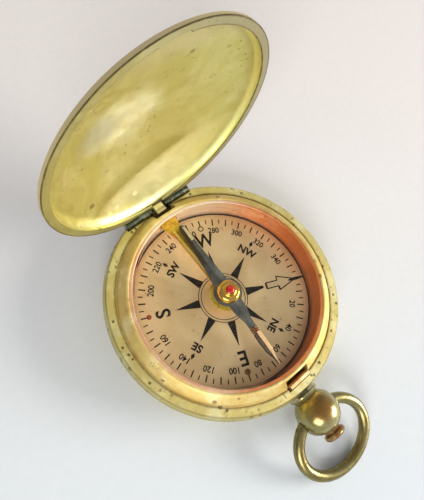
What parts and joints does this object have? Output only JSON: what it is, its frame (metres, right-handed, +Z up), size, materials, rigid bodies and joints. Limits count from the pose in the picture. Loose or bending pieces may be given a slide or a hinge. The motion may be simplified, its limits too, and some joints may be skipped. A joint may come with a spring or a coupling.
{
  "type": "pocket compass",
  "caption": "Hunter-case pocket compass with a sprung hinged lid, glazed needle capsule, lid-worked needle lifter, pendant push button and swinging bow.",
  "frame": {"origin": "centre of the flat of the case's back", "axes": "+Z up along the dial's normal, +Y towards the lid's hinge, -Y towards the pendant; drawn with the lid open on its stop"},
  "size_m": [0.048, 0.0718, 0.0537],
  "materials": {
    "case_brass": "aged, unpolished, fine pits",
    "lid_brass": "aged, dished, pitted",
    "catch_brass": "aged",
    "inner_brass": "turned",
    "copper": "copper-coloured, satin",
    "dial_silver": "silvered, grained, black print",
    "steel": "bright",
    "hinge_steel": "dull, darkened",
    "crystal_glass": "clear",
    "blued_steel": "blued",
    "luminous_paint": "matt cream",
    "gold_brass": "bright",
    "pale_brass": "bright, worn",
    "ruby": "polished red",
    "pendant_brass": "brown-stained",
    "bow_brass": "olive patina"
  },
  "bodies": {
    "case": {"case_shell": "case_brass", "base_spacer": "inner_brass", "capsule_cup": "copper", "dial_spacer": "inner_brass", "dial_plate": "dial_silver", "pivot_boss": "inner_brass", "boss_base_plate": "inner_brass", "pivot_post": "steel", "crystal": "crystal_glass", "crystal_ring": "copper", "bezel_ring": "case_brass", "lifter_pin": "steel", "lifter_spring": "steel", "case_knuckles": "hinge_steel", "hinge_pins": "steel", "catch_spring": "steel", "catch_spring_screws": "steel", "lid_spring": "steel", "lid_spring_screw": "steel", "pendant_ball": "pendant_brass", "pendant_tube": "inner_brass", "button_spring": "steel"},
    "lid": {"lid_shell": "lid_brass", "lid_knuckles": "hinge_steel"},
    "lifter": {"lifter_lever": "gold_brass", "lifter_block": "pale_brass"},
    "washer": {"lift_washer": "gold_brass"},
    "needle": {"needle_blade": "blued_steel", "needle_inlays": "luminous_paint", "balance_wire": "copper", "needle_cap": "gold_brass", "cap_jewel": "ruby"},
    "catch": {"catch_nose": "catch_brass"},
    "button": {"push_button": "pendant_brass"},
    "bow": {"bow": "bow_brass"}
  },
  "joints": [
    {"name": "lid_hinge", "type": "hinge", "parent": "case", "child": "lid", "pos_m": [0, 0.0225, 0.0084], "axis": [1, 0, 0], "range_deg": [0, 94.8], "stiffness_Nm_per_rad": 0.0024, "springref_deg": -22.92, "deforming": ["lid_spring"]},
    {"name": "lifter_tilt", "type": "hinge", "parent": "case", "child": "lifter", "pos_m": [0.00025, 0.0209, 0.0076], "axis": [-1, 0, 0], "range_deg": [0, 1.71], "deforming": ["lifter_spring"]},
    {"name": "needle_lift", "type": "slide", "parent": "case", "child": "washer", "axis": [0, 0, 1], "range_m": [0, 0.00062]},
    {"name": "needle_spin", "type": "hinge", "parent": "washer", "child": "needle", "pos_m": [0, 0, 0.0103], "axis": [0, 0, 1], "continuous": true},
    {"name": "button_push", "type": "slide", "parent": "case", "child": "button", "axis": [0, 1, 0], "range_m": [0, 0.0005], "stiffness_N_per_m": 600, "springref_m": -0.0002, "deforming": ["button_spring"]},
    {"name": "catch_flex", "type": "slide", "parent": "case", "child": "catch", "axis": [0, 1, 0], "range_m": [0, 0.00051], "deforming": ["catch_spring"]},
    {"name": "bow_swing", "type": "hinge", "parent": "case", "child": "bow", "pos_m": [0, -0.0287, 0.0056], "axis": [-1, 0, 0], "range_deg": [-80, 120]}
  ],
  "couplings": [
    {"joint": "lifter_tilt", "follows": "lid_hinge", "ratio": 0.017511},
    {"joint": "needle_lift", "follows": "lid_hinge", "m_per_rad": 0.00036263},
    {"joint": "catch_flex", "follows": "button_push", "ratio": 1}
  ]
}
